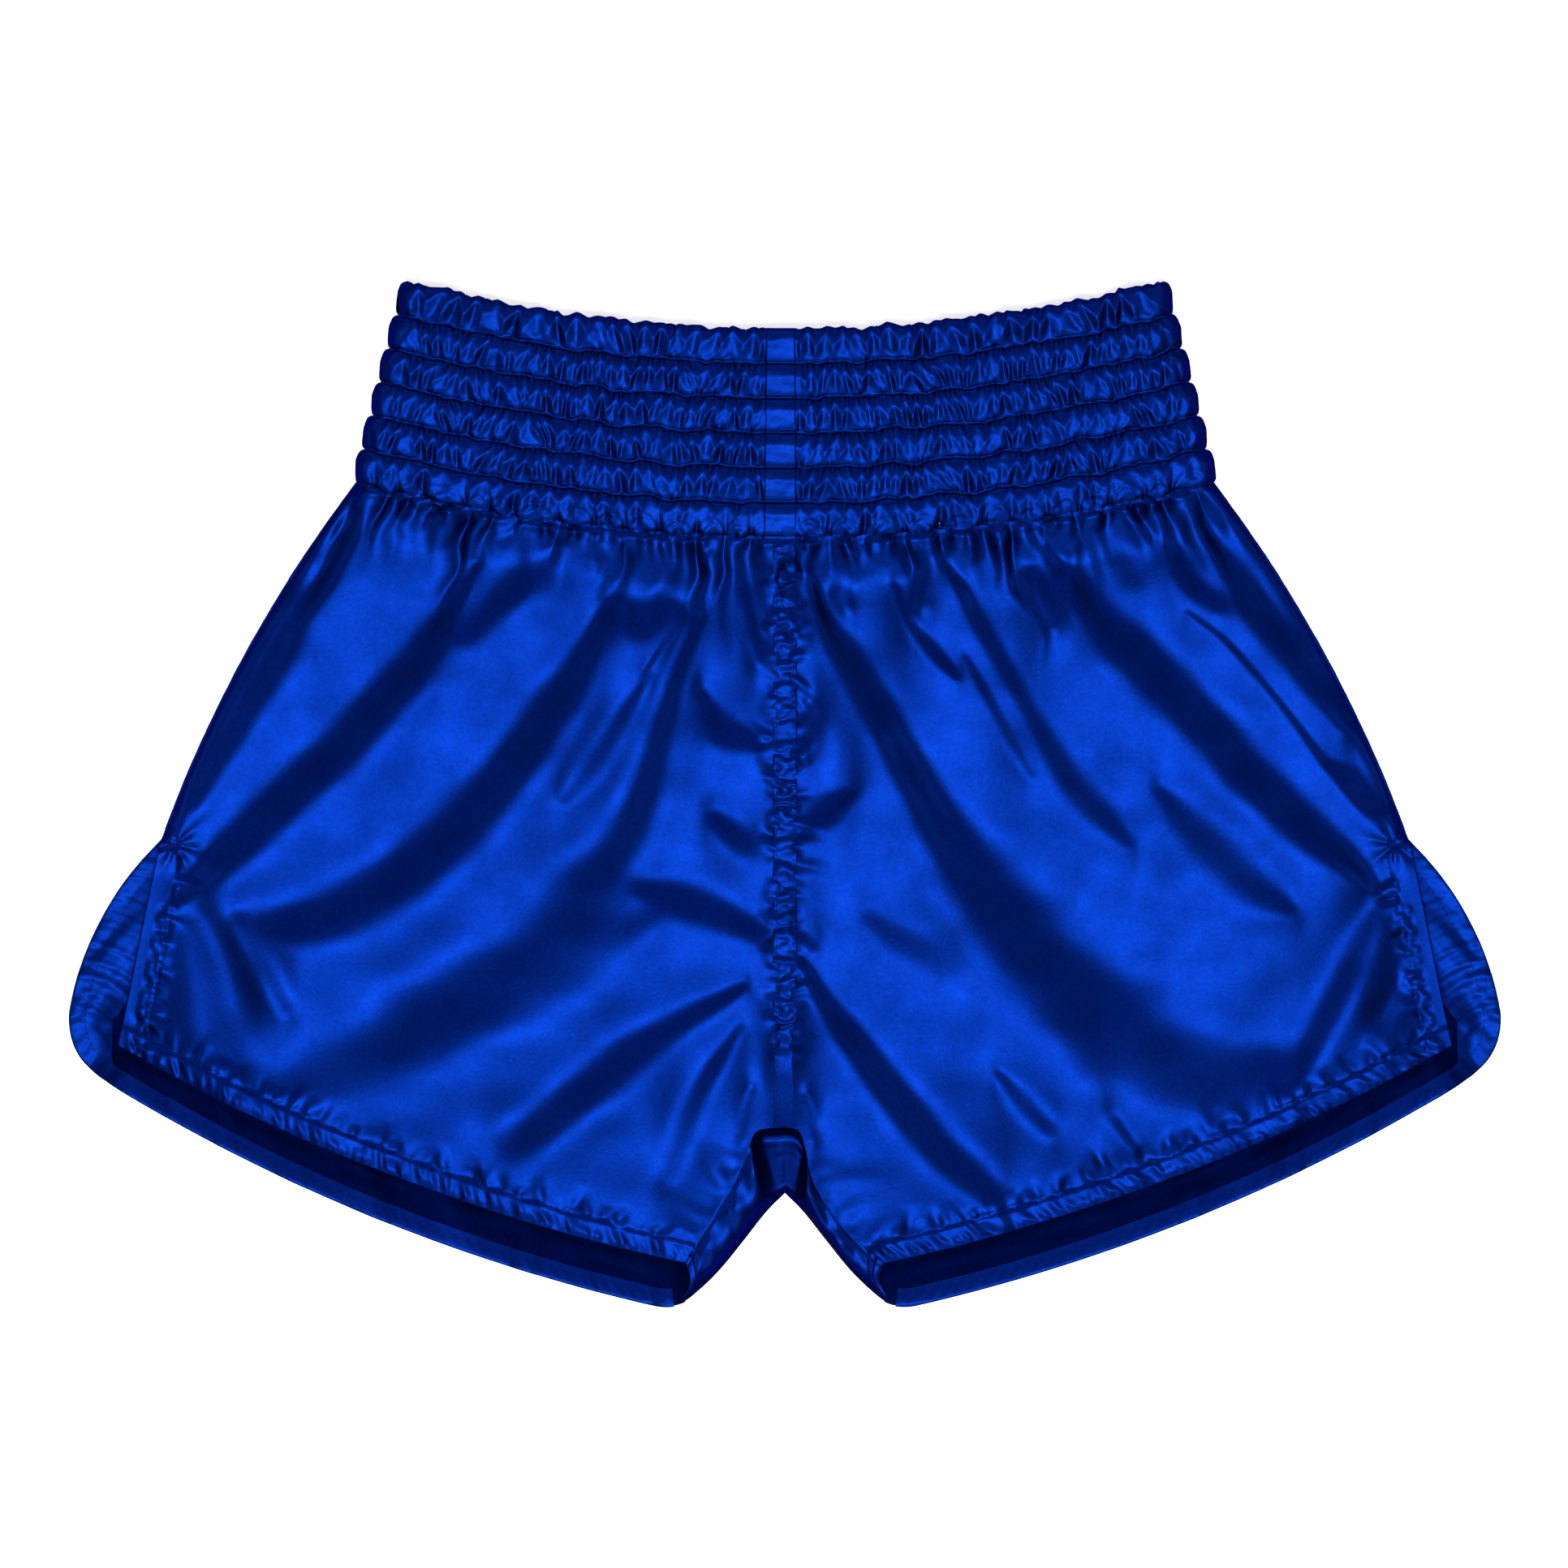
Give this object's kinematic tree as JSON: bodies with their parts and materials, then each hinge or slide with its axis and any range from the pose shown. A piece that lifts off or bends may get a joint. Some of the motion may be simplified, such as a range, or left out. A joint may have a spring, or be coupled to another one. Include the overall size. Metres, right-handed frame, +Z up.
{
  "type": "boxing shorts",
  "caption": "Flared satin boxing shorts with a wide shirred elastic waistband, open side slits and a crotch gusset, laid flat with the front up.",
  "frame": {"origin": "on the table, under the middle of the shorts' length and width", "axes": "the shorts lie on their back: +Z up out of the front, +Y towards the waist, +X towards the wearer's left"},
  "size_m": [0.6366, 0.4521, 0.0188],
  "materials": {
    "satin": "glossy royal blue polyester satin",
    "thread": "royal blue polyester thread",
    "elastic": "woven white elastic"
  },
  "bodies": {
    "root": {"back_edge_facing_left": "satin", "back_edge_facing_right": "satin", "back_edge_stitching_left": "thread", "back_edge_stitching_right": "thread", "back_panel_left": "satin", "back_panel_right": "satin", "centre_back_seam": "satin", "centre_front_seam": "satin", "centre_front_stitching": "thread", "crotch_gusset": "satin", "elastic_band_1": "elastic", "elastic_band_2": "elastic", "elastic_band_3": "elastic", "elastic_band_4": "elastic", "elastic_band_5": "elastic", "elastic_band_6": "elastic", "front_panel_left": "satin", "front_panel_right": "satin", "gusset_hem_left": "satin", "gusset_hem_right": "satin", "side_seam_left": "satin", "side_seam_right": "satin", "slit_bartack_left": "thread", "slit_bartack_right": "thread", "waistband_cover": "satin", "waistband_join_strip": "satin", "waistband_lining": "satin", "waistband_stitching": "thread"},
    "flap_left": {"front_flap_left": "satin", "front_slit_facing_left": "satin", "front_hem_left": "satin", "front_hem_stitching_left": "thread", "front_slit_stitching_left": "thread"},
    "flap_right": {"front_flap_right": "satin", "front_slit_facing_right": "satin", "front_hem_right": "satin", "front_hem_stitching_right": "thread", "front_slit_stitching_right": "thread"}
  },
  "joints": [
    {"name": "front_flap_left_fold", "type": "hinge", "parent": "root", "child": "flap_left", "pos_m": [0.044, -0.208, 0.014], "axis": [-0.7786, -0.6276, 0], "range_deg": [0, 150]},
    {"name": "front_flap_right_fold", "type": "hinge", "parent": "root", "child": "flap_right", "pos_m": [-0.044, -0.208, 0.014], "axis": [-0.7786, 0.6276, 0], "range_deg": [0, 150]}
  ]
}
